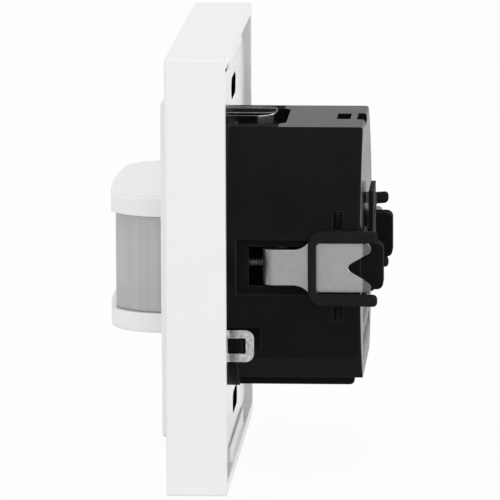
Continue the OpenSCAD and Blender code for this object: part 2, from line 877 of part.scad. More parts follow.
// Lug on the rear that the right band hooks over
module band_lug() {
  r = lug_corner_r;
  along_x(lug_x[0], lug_x[1])
    polygon(concat([[body_d - over, lug_half], [body_d - over, -lug_half]],
                   arc([lug_end - r, r - lug_half], r, -90, 0, edge_steps),
                   arc([lug_end - r, lug_half - r], r, 0, 90, edge_steps)));
}

// Electronics of the insert

module main_pcb() color("seagreen")
  intersection() {
    block([-main_pcb_half, main_pcb_half], [main_pcb_front, main_pcb_back],
          [move_gap - cavity_bottom, cavity_top - move_gap]);
    rod(cavity_r - move_gap, 0, body_d);
  }

module relay() color("steelblue") block(relay_x, [main_pcb_back, relay_end], relay_z);

module smoothing_capacitor() color("navy")
  rod(capacitor_r, main_pcb_back, capacitor_end, capacitor_place[0], capacitor_place[1]);

module film_capacitor() color("goldenrod") block(film_x, [main_pcb_back, film_end], film_z);

module choke() color("saddlebrown") translate([choke_place[0], 0, choke_place[1]]) {
  rod(choke_r[0], main_pcb_back, main_pcb_back + choke_flange_t);
  rod(choke_r[1], main_pcb_back, choke_end);
  rod(choke_r[0], choke_end - choke_flange_t, choke_end);
}

module fuse() color("maroon") block(fuse_x, [main_pcb_back, fuse_end], fuse_z);

// Middle of a terminal, counted from the left
function terminal_x(i) = (i - (terminal_count - 1) / 2) * terminal_pitch;

module terminal_clamps() color("peru") {
  y0 = terminal_front + clamp_gap;
  y1 = body_d - wire_l - clamp_gap;
  z0 = terminal_bottom + terminal_wall + fit_gap;
  z1 = terminal_top - terminal_wall - clamp_gap;
  for (i = [0:terminal_count - 1])
    along_x(terminal_x(i) - clamp_w / 2, terminal_x(i) + clamp_w / 2) {
      difference() {
        translate([y0, z0]) square([y1 - y0, z1 - z0]);
        translate([y0 + clamp_t, z0 + clamp_t]) square([y1, z1 - z0 - 2 * clamp_t]);
      }
      translate([main_pcb_back, (z0 + z1) / 2]) square([y0 + lap - main_pcb_back, clamp_t]);
    }
}

module terminal_insulators() color([0.2, 0.2, 0.2])
  for (i = [0:terminal_count - 1]) {
    x = terminal_x(i);
    inner = terminal_w / 2 - terminal_wall;
    difference() {
      block([x - terminal_w / 2, x + terminal_w / 2], [terminal_front, body_d], terminal_z);
      block([x - inner, x + inner], [terminal_front - over, body_d - wire_l],
            [terminal_bottom + terminal_wall, terminal_top - terminal_wall]);
      block([x - slide_finger_w, x + slide_finger_w],
            [slide_comb_y[0] - move_gap, slide_comb_y[1] + move_gap],
            [terminal_top - 2 * terminal_wall, terminal_top + over]);
      for (z = wire_z)
        rod(wire_r, body_d - 2 * wire_l, body_d + over, x, z);
    }
  }

// Release slide

module release_slide() color([0.13, 0.13, 0.13]) {
  stem = [-slide_stem[0] / 2, slide_stem[0] / 2];
  stem_z = [-slide_stem[1] / 2, slide_stem[1] / 2];
  beam_y = [slide_comb_y[1] - slide_beam, slide_comb_y[1]];
  shoulder = slide_slot_w / 2 + slide_shoulder[0];
  shoulder_y = cavity_back - move_gap;
  difference() {
    block([-slide_w / 2, slide_w / 2], [slide_front, slide_back], [-slide_bottom, slide_top]);
    slide_grips();
  }
  block(stem, [beam_y[0], slide_front + lap], stem_z);
  // Shoulder that keeps the slide in its slot
  block([-shoulder, shoulder], [shoulder_y - slide_shoulder[1], shoulder_y], stem_z);
  block(stem, beam_y, [slide_comb_z[0], 0]);
  block([terminal_x(0) - slide_finger_w / 2, terminal_x(terminal_count - 1) + slide_finger_w / 2],
        slide_comb_y, slide_comb_z);
  for (i = [0:terminal_count - 1])
    block([terminal_x(i) - slide_finger_w / 2, terminal_x(i) + slide_finger_w / 2],
          slide_comb_y, [slide_finger_z, slide_comb_z[0] + lap]);
}

// Shallow grooves for a screwdriver's tip
module slide_grips()
  for (z = [-slide_grip_z, 0, slide_grip_z])
    translate([0, 0, z]) along_y(slide_back - slide_grip[2], slide_back + over)
      square([slide_grip[0], slide_grip[1]], center = true);

// Claws

// The right claw: a bent sheet with a round nose that it swings on, and a slot for the screw
module claw() difference() {
  intersection() {
    along_z(-claw_blade_w, claw_blade_w) {
      polygon(claw_profile());
      translate([claw_pivot_x, claw_pivot_y]) circle(claw_t / 2);
    }
    along_x(foot_end - over, body_r + claw_tip_l + over) polygon(claw_side());
  }
  translate([screw_x, 0, 0]) along_y(claw_foot_y - over, claw_foot_y + claw_t + over)
    square(foot_slot, center = true);
}

// The bent sheet seen from above: foot, round bend, blade, and the tips beyond the fold
function claw_profile() =
  let (bend = [claw_out - claw_bend_r, claw_foot_y + claw_bend_r],
       fold = [claw_out, claw_fold_y],
       tip = fold + claw_tip_l * [sin(claw_tip_bend), cos(claw_tip_bend)],
       through = claw_t * [-cos(claw_tip_bend), sin(claw_tip_bend)])
  concat([[claw_pivot_x, claw_foot_y]], arc(bend, claw_bend_r, -90, 0, claw_steps),
         [fold, tip, tip + through, [claw_in, claw_fold_y + claw_t * tan(claw_tip_bend / 2)]],
         arc(bend, claw_bend_r - claw_t, 0, -90, claw_steps), [[claw_pivot_x, claw_foot_y + claw_t]]);

// The side outline: a neck that flares into the blade, and a rounded vee between the tips
function claw_side() =
  let (neck = claw_neck_w / 2,
       blade = claw_blade_w / 2,
       flare_l = claw_flare_end - claw_flare_start,
       flare_r = (flare_l * flare_l + (blade - neck) * (blade - neck)) / (2 * (blade - neck)),
       flare_end = asin(flare_l / flare_r) - 90,
       tip = [claw_fold_y + claw_tip_l * cos(claw_tip_bend) - claw_tip_r, blade - claw_tip_r],
       apex = [claw_notch_y + claw_apex_r, 0],
       slope = atan2(tip[1], tip[0] - apex[0]) - asin((claw_tip_r + claw_apex_r) / norm(tip - apex)),
       half = concat([[claw_foot_y - over, neck]],
                     arc([claw_flare_start, neck + flare_r], flare_r, -90, flare_end, claw_steps),
                     arc(tip, claw_tip_r, 90, slope - 90, claw_steps),
                     arc(apex, claw_apex_r, slope + 90, 180, claw_steps)))
  concat(half, [for (i = [len(half) - 2:-1:0]) [half[i][0], -half[i][1]]]);

module claw_right() color("darkgray") claw();

module claw_left() color("darkgray") left_side() claw();

// Screw with a slotted and crossed head in front of the support ring
module claw_screw() {
  head = -ring_t - screw_head_t;
  difference() {
    union() {
      rod(screw_head_r, head, -ring_t, screw_x);
      rod(screw_r, -ring_t - lap, screw_end, screw_x);
    }
    for (size = [[screw_slot[0], 1.7 * screw_head_r], [1.2 * screw_head_r, screw_slot[0]]])
      translate([screw_x, 0, 0]) along_y(head - over, head + screw_slot[1]) square(size, center = true);
  }
}

module claw_screw_right() color("silver") claw_screw();

module claw_screw_left() color("silver") left_side() claw_screw();

// Barrel-shaped nut that draws the claw's foot towards the ring
module claw_nut() difference() {
  translate([screw_x, nut_y, -nut_l / 2]) cylinder(r = nut_r, h = nut_l);
  rod(screw_r + run_gap, nut_y - nut_r - over, nut_y + nut_r + over, screw_x);
}

module claw_nut_right() color("goldenrod") claw_nut();

module claw_nut_left() color("goldenrod") left_side() claw_nut();

// Rubber band: a bar across the claw, two arms, and a flat strap round the root of the lug on the rear
module claw_band() {
  inner_half = band_half - band_w;
  strap = lug_x[0] - fit_gap;
  strap_y = [body_d + fit_gap, body_d + fit_gap + band_strap_t];
  r0 = band_corner_r;
  r1 = band_end_r;
  along_x(band_in, band_out) difference() {
    polygon(concat(arc([band_end - r1, band_half - r1], r1, 0, 90, edge_steps),
                   arc([band_bar_y + r0, band_half - r0], r0, 90, 180, edge_steps),
                   arc([band_bar_y + r0, r0 - band_half], r0, 180, 270, edge_steps),
                   arc([band_end - r1, r1 - band_half], r1, 270, 360, edge_steps)));
    translate([band_bar_y + band_bar_w, -inner_half]) square([band_end, 2 * inner_half]);
  }
  for (z = [[inner_half, band_half], [-band_half, -inner_half]])
    block([strap - band_strap_w, band_in + lap], strap_y, z);
  block([strap - band_strap_w, strap], strap_y, [-band_half, band_half]);
}

module claw_band_right() color([0.15, 0.15, 0.15]) claw_band();

module claw_band_left() color([0.15, 0.15, 0.15]) left_side() claw_band();

frame();
cover_plate();
fresnel_lens();
sensor_pcb();
pyro_sensor();
light_sensor();
status_lamp();
trimmer_bodies();
lux_dial();
time_dial();
plug_header();
sensor_back_cover();
support_ring();
insert_cap();
header_socket();
insert_housing();
main_pcb();
relay();
smoothing_capacitor();
film_capacitor();
choke();
fuse();
terminal_clamps();
terminal_insulators();
release_slide();
claw_right();
claw_left();
claw_screw_right();
claw_screw_left();
claw_nut_right();
claw_nut_left();
claw_band_right();
claw_band_left();
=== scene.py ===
import json
import math

import bmesh
import bpy
from mathutils import Matrix, Vector


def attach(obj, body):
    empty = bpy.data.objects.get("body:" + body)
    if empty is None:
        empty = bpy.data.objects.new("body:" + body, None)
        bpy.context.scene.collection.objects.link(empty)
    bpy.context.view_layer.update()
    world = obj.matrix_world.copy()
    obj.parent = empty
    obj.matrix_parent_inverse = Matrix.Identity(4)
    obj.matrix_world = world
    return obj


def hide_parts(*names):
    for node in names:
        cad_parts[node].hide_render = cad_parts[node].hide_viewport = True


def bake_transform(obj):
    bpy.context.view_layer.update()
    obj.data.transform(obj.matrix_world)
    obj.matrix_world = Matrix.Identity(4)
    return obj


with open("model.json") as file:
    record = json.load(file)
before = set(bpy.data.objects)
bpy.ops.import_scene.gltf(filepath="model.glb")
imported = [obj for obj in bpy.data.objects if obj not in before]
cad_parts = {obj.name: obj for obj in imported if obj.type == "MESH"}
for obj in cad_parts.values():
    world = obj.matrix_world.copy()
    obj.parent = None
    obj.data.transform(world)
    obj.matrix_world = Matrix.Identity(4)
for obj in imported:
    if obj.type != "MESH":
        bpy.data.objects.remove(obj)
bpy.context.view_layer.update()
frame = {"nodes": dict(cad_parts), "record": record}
mm = 0.001
scene = bpy.context.scene
scene.view_settings.view_transform = "Standard"
print("frame loaded")


# a socket that takes part in sums: each operation adds a Math node
class Value:
    def __init__(self, owner, socket):
        self.owner = owner
        self.socket = socket

    def sum(self, operation, first, second):
        return self.owner.add("ShaderNodeMath", {"operation": operation}, {0: first, 1: second})

    def __add__(self, other):
        return self.sum("ADD", self, other)

    def __radd__(self, other):
        return self.sum("ADD", other, self)

    def __sub__(self, other):
        return self.sum("SUBTRACT", self, other)

    def __rsub__(self, other):
        return self.sum("SUBTRACT", other, self)

    def __mul__(self, other):
        return self.sum("MULTIPLY", self, other)

    def __rmul__(self, other):
        return self.sum("MULTIPLY", other, self)


# one node tree, and the only place where nodes are made
class Finish:
    def __init__(self, holder):
        holder.use_nodes = True
        self.holder = holder
        self.nodes = holder.node_tree.nodes
        self.links = holder.node_tree.links

    def put(self, socket, value):
        if isinstance(value, Value):
            self.links.new(value.socket, socket)
        else:
            socket.default_value = value

    def add(self, kind, settings=None, sockets=None, out=0):
        node = self.nodes.new(kind)
        for key, value in (settings or {}).items():
            if key == "stops":
                for element, (position, grey) in zip(node.color_ramp.elements, value):
                    element.position = position
                    element.color = (grey, grey, grey, 1)
            else:
                setattr(node, key, value)
        for key, value in (sockets or {}).items():
            self.put(node.inputs[key], value)
        return Value(self, node.outputs[out])

    # object coordinates in millimetres, stretched along the axes
    def place(self, stretch=(1, 1, 1)):
        where = self.add("ShaderNodeTexCoord", out="Object")
        scale = tuple(1000 * s for s in stretch)
        return self.add("ShaderNodeVectorMath", {"operation": "MULTIPLY"}, {0: where, 1: scale})

    # one coordinate of a vector
    def axis(self, vector, number):
        return self.add("ShaderNodeSeparateXYZ", {}, {0: vector}, number)

    def noise(self, where, scale, detail, rough=0.5):
        return self.add("ShaderNodeTexNoise", {}, {"Vector": where, "Scale": scale, "Detail": detail,
                                                   "Roughness": rough})

    # 0 below the first stop and 1 above the second
    def step(self, value, low, high):
        return self.add("ShaderNodeValToRGB", {"stops": [(low, 0), (high, 1)]}, {0: value})

    # 0 before a place along an axis and 1 after it; the scale brings millimetres into the ramp's range
    def past(self, along, start, end, scale=0.03):
        return self.step(along * scale, start * scale, end * scale)

    def blend(self, share, first, second):
        return self.add("ShaderNodeMix", {"data_type": "RGBA"}, {0: share, 6: first, 7: second}, 2)

    # the look's colour, from a little darker to a little lighter
    def tones(self, share, look):
        return self.blend(share, tint(look["colour"], 1 - look["shade"]),
                          tint(look["colour"], 1 + look["shade"]))

    # normals rounded over the edges, and how close a point is to an edge
    def softEdges(self, radius):
        rounded = self.add("ShaderNodeBevel", {"samples": 6}, {"Radius": radius * mm})
        flat = self.add("ShaderNodeNewGeometry", out="Normal")
        alike = self.add("ShaderNodeVectorMath", {"operation": "DOT_PRODUCT"},
                         {0: rounded, 1: flat}, "Value")
        return rounded, 1 - alike

    # a relief with a depth in millimetres
    def bump(self, depth, height, normal=None):
        sockets = {"Strength": 1.0, "Distance": depth * mm, "Height": height}
        if normal is not None:
            sockets["Normal"] = normal
        return self.add("ShaderNodeBump", {}, sockets)

    def surface(self, sockets):
        shader = self.nodes["Principled BSDF"]
        for key, value in sockets.items():
            self.put(shader.inputs[key], value)


def tint(colour, share):
    return tuple(min(1.0, c * share) for c in colour) + (1,)


# moulded plastic: a fine grain, faint flow clouds, and edges made lighter in colour: partly rubbed wear,
# partly a painted highlight
def mouldedFinish(name, look):
    finish = Finish(bpy.data.materials.new(name))
    where = finish.place()
    cloud = finish.noise(where, look["cloud"], detail=4)
    grain = finish.noise(where, look["grain"], detail=3)
    rounded, edge = finish.softEdges(look["edge"])
    base = finish.tones(cloud, look)
    # edges lighter in colour: partly rubbed wear, partly a painted highlight
    wearAndPaintedLight = finish.step(edge * (look["patchy"] + cloud), *look["edgeStep"]) * look["wearAndHighlightShare"]
    rough = look["rough"] + (cloud - 0.5) * look["gloss"] + (grain - 0.5) * look["gloss"]
    if "matt" in look:
        matt = look["matt"]
        deep = finish.axis(where, 1)
        top = finish.past(finish.axis(where, 2), *matt["top"])
        front = top * (1 - finish.past(deep, *matt["front"]))
        behind = finish.past(deep, *matt["behind"])
        rough = rough + (front + behind) * matt["more"]
    finish.surface({
        "Base Color": finish.blend(wearAndPaintedLight, base, tint(look["colour"], look["wearAndHighlightTone"])),
        "Roughness": rough,
        "Specular IOR Level": look["specular"],
        "Normal": finish.bump(look["depth"], grain, rounded),
    })
    return finish.holder


# plated sheet: rolling streaks, a mottled plating, and bright edges: partly rubbed wear, partly a painted
# highlight
def platedFinish(name, look):
    finish = Finish(bpy.data.materials.new(name))
    where = finish.place()
    streaks = finish.noise(finish.place(look["stretch"]), look["streak"], detail=4, rough=0.65)
    mottle = finish.noise(where, look["mottle"], detail=5, rough=0.6)
    spots = finish.step(finish.noise(where, look["spots"], detail=2), *look["spotStep"])
    specks = finish.step(finish.noise(where, look["specks"], detail=1), *look["speckStep"])
    rounded, edge = finish.softEdges(look["edge"])
    bright = tint(look["colour"], look["wearAndHighlightTone"])
    base = finish.tones(finish.step(mottle, *look["mottleStep"]), look)
    marked = finish.blend(spots * look["spotShare"], base, tint(look["colour"], look["spotTone"]))
    marked = finish.blend(specks * look["speckShare"], marked, bright)
    # edges brighter in colour: partly rubbed wear, partly a painted highlight
    wearAndPaintedLight = finish.blend(finish.step(edge, *look["edgeStep"]) * look["wearAndHighlightShare"], marked, bright)
    rough = look["rough"] + (mottle - 0.5) * look["gloss"] + (streaks - 0.5) * look["gloss"]
    if "ring" in look:
        # the flat of the ring gets painted light, its sheared edges a near-black painted shade that darkens
        # the slots, and its tongues are smooth
        ring = look["ring"]
        deep = finish.axis(where, 1)
        facing = finish.axis(finish.add("ShaderNodeNewGeometry", out="Normal"), 1)
        flat = finish.step(facing * facing, *ring["flatStep"])
        wearAndPaintedLight = finish.blend(flat * ring["flatPaintedLightShare"], wearAndPaintedLight, bright)
        shifted = deep + ring["shift"]
        within = finish.past(shifted, *ring["sheetFront"], ring["sheetScale"])
        within = within * (1 - finish.past(shifted, *ring["sheetBack"], ring["sheetScale"]))
        sheetEdgePaintedShade = (1 - finish.step(facing * facing, *ring["shearStep"])) * within
        wearAndPaintedLight = finish.blend(sheetEdgePaintedShade * ring["sheetEdgeShadeShare"], wearAndPaintedLight, tint(look["colour"], ring["sheetEdgeShadeTone"]))
        up = finish.axis(where, 2)
        tongue = finish.past(up * up, *ring["tongueRise"], ring["riseScale"])
        tongue = tongue * finish.past(deep, *ring["tongueStart"], ring["startScale"])
        rough = rough * (1 - tongue * ring["smooth"])
    # the claw tips past the bend get a painted shade: a darker colour where they turn from the light
    if "tip" in look:
        tip = finish.past(finish.axis(where, 1), *look["tip"])
        wearAndPaintedLight = finish.blend(tip, wearAndPaintedLight, tint(look["colour"], look["tipShadeTone"]))
    finish.surface({
        "Base Color": wearAndPaintedLight,
        "Metallic": 1.0,
        "Roughness": rough,
        "Normal": finish.bump(look["depth"], streaks + mottle * look["mottleDepth"], rounded),
    })
    return finish.holder


# the lens: upright segments, each with a lens form that catches the light, a cloudy body, and a painted
# shadow line along its top and bottom where it meets the caps
def lensFinish(name, look):
    finish = Finish(bpy.data.materials.new(name))
    along = finish.add("ShaderNodeAttribute", {"attribute_name": "lensAlong"}, out="Fac")
    where = finish.place()
    cloud = finish.noise(where, look["cloud"], detail=4)
    rise = finish.axis(where, 2) - look["middle"]
    capShadow = finish.past(rise * rise, look["capShadowStart"] ** 2, look["capShadowEnd"] ** 2, look["capShadowScale"])
    segment = finish.add("ShaderNodeMath", {"operation": "FRACT"}, {0: along * (1 / look["pitch"])})
    hump = segment * (1 - segment) * 4
    line = finish.add("ShaderNodeCombineXYZ", {}, {0: along})
    bands = finish.noise(line, look["bands"], detail=2, rough=0.6)
    fine = finish.noise(line, look["fine"], detail=2, rough=0.6)
    shade = finish.step(bands, *look["spreadStep"]) * look["bandShare"]
    shade = shade + finish.step(fine, *look["spreadStep"]) * look["fineShare"]
    shade = shade + finish.step(cloud, *look["spreadStep"]) * look["cloudShare"]
    height = hump * look["humpShare"] + finish.noise(where, look["grain"], detail=2) * look["grainShare"]
    body = finish.tones(shade, look)
    finish.surface({
        "Base Color": finish.blend(capShadow * look["capShadowShare"], body, tint(look["colour"], look["capShadowTone"])),
        "Roughness": look["rough"] + (cloud - 0.5) * look["gloss"],
        "Specular IOR Level": look["specular"],
        "Normal": finish.bump(look["depth"], height),
    })
    return finish.holder


# circuit board: solder resist over tracks, with a cloudy tone
def boardFinish(name, look):
    finish = Finish(bpy.data.materials.new(name))
    where = finish.place()
    tracks = finish.add("ShaderNodeTexBrick", {}, {
        "Vector": where, "Color1": (1, 1, 1, 1), "Color2": (1, 1, 1, 1), "Mortar": (0, 0, 0, 1),
        "Scale": look["tracks"]})
    cloud = finish.noise(where, look["cloud"], detail=3)
    tone = finish.blend(tracks, tint(look["colour"], look["trackTone"]), tint(look["colour"], 1))
    finish.surface({
        "Base Color": finish.blend(cloud * look["dimShare"], tone, tint(look["colour"], look["dimTone"])),
        "Roughness": look["rough"] + (cloud - 0.5) * look["gloss"],
        "Normal": finish.bump(look["depth"], cloud),
    })
    return finish.holder


# enamelled wire wound in close turns
def windingFinish(name, look):
    finish = Finish(bpy.data.materials.new(name))
    where = finish.place()
    turns = finish.add("ShaderNodeTexWave", {"bands_direction": "Y"}, {
        "Vector": where, "Scale": look["turns"], "Distortion": look["wander"]})
    cloud = finish.noise(where, look["cloud"], detail=3)
    finish.surface({
        "Base Color": finish.blend(turns, tint(look["colour"], look["low"]),
                                   tint(look["colour"], look["high"])),
        "Metallic": look["metal"],
        "Roughness": look["rough"] + (cloud - 0.5) * look["gloss"],
        "Normal": finish.bump(look["depth"], turns),
    })
    return finish.holder


# families of settings; a pair called a step is where a mask starts and where it is full
plainMoulding = {"cloud": 0.12, "grain": 7, "shade": 0.03, "rough": 0.42, "gloss": 0.08, "specular": 0.4,
                 "depth": 0.01, "edge": 0.15, "patchy": 0.6, "edgeStep": (0.05, 0.5), "wearAndHighlightShare": 0.3,
                 "wearAndHighlightTone": 1.1}
# black mouldings have their edges painted up to nine times lighter: partly rubbed wear, mostly a painted
# highlight
blackMoulding = {**plainMoulding, "cloud": 0.16, "grain": 5, "shade": 0.18, "rough": 0.17, "gloss": 0.1,
                 "depth": 0.003, "edge": 0.28, "wearAndHighlightShare": 0.9, "wearAndHighlightTone": 9.0}
plating = {"stretch": (1, 1, 0.05), "streak": 5, "mottle": 0.9, "mottleStep": (0.3, 0.7),
           "mottleDepth": 0.5, "spots": 2.2, "spotStep": (0.66, 0.72), "spotShare": 0.3,
           "spotTone": 0.55, "specks": 2.6, "speckStep": (0.77, 0.79), "speckShare": 0.0,
           "shade": 0.2, "rough": 0.15, "gloss": 0.12, "depth": 0.003, "edge": 0.15,
           "edgeStep": (0.04, 0.3), "wearAndHighlightShare": 0.8, "wearAndHighlightTone": 1.7}
# where the ring's sheet and tongues are, in millimetres, with the tongues' rise squared for both of them;
# the shift keeps the depths above zero
# the flat faces get painted light, and the sheared edges a near-black painted shade
ringZones = {"flatStep": (0.5, 0.7), "flatPaintedLightShare": 0.75, "shift": 5.0, "sheetFront": (3.9, 4.0),
             "sheetBack": (4.97, 4.99), "sheetScale": 0.1, "shearStep": (0.2, 0.3), "sheetEdgeShadeShare": 0.97,
             "sheetEdgeShadeTone": 0.02, "tongueRise": (430.0, 450.0), "riseScale": 0.001, "tongueStart": (0.4, 0.6),
             "startScale": 0.05, "smooth": 0.6}
# the housing is more matt on top near the frame, and on what stands behind its rear face
housingMatt = {"top": (23.7, 23.8333), "front": (8.9667, 9.3), "behind": (25.3, 25.5), "more": 0.5}
finishes = {
    "white_plastic": (mouldedFinish, {**plainMoulding, "colour": (0.86, 0.86, 0.86), "shade": 0.008,
                                      "rough": 0.24, "edge": 0.25, "depth": 0.004, "wearAndHighlightTone": 1.03}),
    # its top and bottom get a painted shadow line where they meet the caps
    "lens_plastic": (lensFinish, {"colour": (0.46, 0.46, 0.465), "shade": 0.2, "pitch": 2.2, "bands": 0.35,
                                  "fine": 1.7, "cloud": 0.12, "grain": 6, "spreadStep": (0.3, 0.7),
                                  "bandShare": 0.4, "fineShare": 0.2, "cloudShare": 0.4, "humpShare": 0.5,
                                  "grainShare": 0.12, "depth": 0.006, "rough": 0.34, "gloss": 0.1,
                                  "middle": -0.6, "capShadowStart": 8.75, "capShadowEnd": 9.05, "capShadowScale": 0.01,
                                  "capShadowShare": 0.9, "capShadowTone": 0.3, "specular": 0.35}),
    # its bright tone also serves as painted light on the flat of the ring
    "zinc_steel": (platedFinish, {**plating, "colour": (0.47, 0.47, 0.475), "shade": 0.42, "mottle": 1.3,
                                  "wearAndHighlightTone": 2.1, "ring": ringZones}),
    "screw_steel": (platedFinish, {**plating, "colour": (0.15, 0.15, 0.152), "rough": 0.3}),
    # near black, with its edges painted 160 times lighter as a painted highlight
    "catch_steel": (mouldedFinish, {**blackMoulding, "colour": (0.006, 0.006, 0.0058), "specular": 0.003,
                                    "rough": 0.6, "edge": 0.26, "wearAndHighlightShare": 2.0, "wearAndHighlightTone": 160.0}),
    # its tips, past 25.5 mm, are darkened as a painted shade
    "claw_steel": (platedFinish, {**plating, "colour": (0.31, 0.31, 0.314), "stretch": (1, 0.08, 1),
                                  "shade": 0.06, "rough": 0.42, "mottle": 0.5, "spotShare": 0.35,
                                  "speckShare": 0.9, "edge": 0.22, "wearAndHighlightShare": 1.0, "wearAndHighlightTone": 2.2,
                                  "tip": (25.5, 25.7), "tipShadeTone": 0.6}),
    # edges painted six times lighter: partly rubbed wear, mostly a painted highlight
    "black_plastic": (mouldedFinish, {**blackMoulding, "colour": (0.009, 0.009, 0.0092), "specular": 0.011,
                                      "edgeStep": (0.02, 0.3), "wearAndHighlightTone": 6.0, "matt": housingMatt}),
    "dark_plastic": (mouldedFinish, {**blackMoulding, "colour": (0.011, 0.011, 0.0112), "specular": 0.012,
                                     "rough": 0.5}),
    "insulator_plastic": (mouldedFinish, {**blackMoulding, "colour": (0.011, 0.011, 0.0112),
                                          "specular": 0.012, "rough": 0.2}),
    "band_rubber": (mouldedFinish, {**blackMoulding, "colour": (0.014, 0.014, 0.0142), "specular": 0.02,
                                    "rough": 0.6, "grain": 9, "depth": 0.02, "wearAndHighlightTone": 1.6}),
    "grey_plastic": (mouldedFinish, {**plainMoulding, "colour": (0.5, 0.5, 0.52)}),
    "blue_plastic": (mouldedFinish, {**plainMoulding, "colour": (0.05, 0.16, 0.4)}),
    "yellow_plastic": (mouldedFinish, {**plainMoulding, "colour": (0.7, 0.48, 0.06)}),
    "circuit_board": (boardFinish, {"colour": (0.03, 0.2, 0.09), "tracks": 0.4, "trackTone": 1.5,
                                    "cloud": 0.3, "dimShare": 0.4, "dimTone": 0.7, "rough": 0.4,
                                    "gloss": 0.1, "depth": 0.02}),
    "tinned_metal": (platedFinish, {**plating, "colour": (0.7, 0.69, 0.66)}),
    "clear_resin": (mouldedFinish, {**plainMoulding, "colour": (0.75, 0.7, 0.5), "rough": 0.15}),
    "red_resin": (mouldedFinish, {**plainMoulding, "colour": (0.6, 0.03, 0.03), "rough": 0.15}),
    "capacitor_sleeve": (mouldedFinish, {**plainMoulding, "colour": (0.02, 0.03, 0.09), "rough": 0.3}),
    "copper_winding": (windingFinish, {"colour": (0.6, 0.28, 0.12), "turns": 1.2, "wander": 0.3,
                                       "cloud": 0.8, "low": 0.45, "high": 1.1, "metal": 0.8, "rough": 0.35,
                                       "gloss": 0.15, "depth": 0.1}),
    "brass": (platedFinish, {**plating, "colour": (0.68, 0.52, 0.22), "rough": 0.3}),
}
materials = {slot: make(slot, look) for slot, (make, look) in finishes.items()}


def dress(piece, slot):
    piece.data.materials.clear()
    piece.data.materials.append(materials[slot])


for part in frame["record"]["subparts"]:
    dress(frame["nodes"][part["node"]], part["material_slot"])
dress(frame["nodes"]["terminal_insulators"], "insulator_plastic")
print("finishes made")


# a new piece from a bmesh in millimetres, sharp where faces turn by more than the given angle
def newPiece(name, form, slot, sharp):
    mesh = bpy.data.meshes.new(name)
    bmesh.ops.recalc_face_normals(form, faces=form.faces)
    form.to_mesh(mesh)
    form.free()
    mesh.transform(Matrix.Scale(mm, 4))
    mesh.shade_smooth()
    mesh.set_sharp_from_angle(angle=math.radians(sharp))
    piece = bpy.data.objects.new(name, mesh)
    scene.collection.objects.link(piece)
    dress(piece, slot)
    return piece


# skin between rings of points
def skin(form, rings):
    count = len(rings[0])
    for ring, following in zip(rings, rings[1:]):
        for i in range(count):
            j = (i + 1) % count
            form.faces.new((ring[i], ring[j], following[j], following[i]))


# skin with a face on its first and its last ring
def closedSkin(form, rings):
    skin(form, rings)
    form.faces.new(rings[0])
    form.faces.new(rings[-1])


# Fresnel lens: a bent sheet with shallow grooves between its upright segments
lens = {"width": 43.4, "depth": 10.3, "corner": 10.0, "bow": 149.0, "halfHeight": 9.1, "middle": -0.6,
        "thick": 0.7, "rear": -11.65, "pitch": 2.2, "groove": 0.012, "grooveHalf": 0.16,
        "outlineSteps": 1600, "halvings": 40, "perSegment": 6, "tangent": 0.2}


# whether a point is inside the outline: straight sides, round front corners and a bowed front
def lensInside(x, y):
    half = lens["width"] / 2
    depth = lens["depth"]
    corner = lens["corner"]
    bow = lens["bow"]
    if abs(x) > half or y < -depth or math.hypot(x, y - bow + depth) > bow:
        return False
    overX = abs(x) - half + corner
    overY = corner - depth - y
    return overX <= 0 or overY <= 0 or math.hypot(overX, overY) <= corner


# distance of the outline from the middle of the rear, found by halving
def lensReach(turn):
    low, high = 0.0, lens["width"]
    for tries in range(lens["halvings"]):
        middle = (low + high) / 2
        if lensInside(middle * math.cos(turn), middle * math.sin(turn)):
            low = middle
        else:
            high = middle
    return low


# outline from the left rear to the right rear, and its length up to each point
def lensOutline():
    steps = lens["outlineSteps"]
    points = []
    for i in range(steps + 1):
        turn = -math.pi + math.pi * i / steps
        reach = lensReach(turn)
        points.append(Vector((reach * math.cos(turn), reach * math.sin(turn), 0)))
    lengths = [0.0]
    for first, second in zip(points, points[1:]):
        lengths.append(lengths[-1] + (second - first).length)
    return points, lengths


# the point at a distance along the outline
def lensAt(points, lengths, distance):
    i = max(1, min(len(points) - 1, sum(1 for length in lengths if length < distance)))
    span = lengths[i] - lengths[i - 1]
    share = (distance - lengths[i - 1]) / span if span else 0
    return points[i - 1].lerp(points[i], share)


def makeLens():
    points, lengths = lensOutline()
    total = lengths[-1]
    segments = round(total / lens["pitch"])
    pitch = total / segments
    parts = lens["perSegment"]
    # each station is a distance along the outline, and 1 where it lies in a groove
    stations = []
    for i in range(segments):
        offsets = [(0, 1), (lens["grooveHalf"], 0)] + [(pitch * k / parts, 0) for k in range(1, parts)]
        offsets.append((pitch - lens["grooveHalf"], 0))
        stations += [(i * pitch + offset, deep if i else 0) for offset, deep in offsets]
    stations.append((total, 0))
    form = bmesh.new()
    along = form.verts.layers.float.new("lensAlong")
    half = lens["halfHeight"]
    rings = []
    for distance, deep in stations:
        at = lensAt(points, lengths, distance)
        before = lensAt(points, lengths, max(0, distance - lens["tangent"]))
        after = lensAt(points, lengths, min(total, distance + lens["tangent"]))
        run = (after - before).normalized()
        inward = Vector((-run.y, run.x, 0))
        ring = []
        for depth, z in ((deep * lens["groove"], half), (deep * lens["groove"], -half),
                         (lens["thick"], -half), (lens["thick"], half)):
            place = at + inward * depth
            vertex = form.verts.new((place.x, place.y + lens["rear"], lens["middle"] + z))
            vertex[along] = distance * lens["pitch"] / pitch
            ring.append(vertex)
        rings.append(ring)
    closedSkin(form, rings)
    piece = newPiece("lens_sheet", form, "lens_plastic", sharp=50)
    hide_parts("fresnel_lens")
    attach(piece, "switch")


makeLens()
print("lens made")


# claws on the two sides: the left ones sit lower
sides = {"right": {"sign": 1, "rise": 0.0, "spread": 0.1},
         "left": {"sign": -1, "rise": -2.1, "spread": 0.5}}

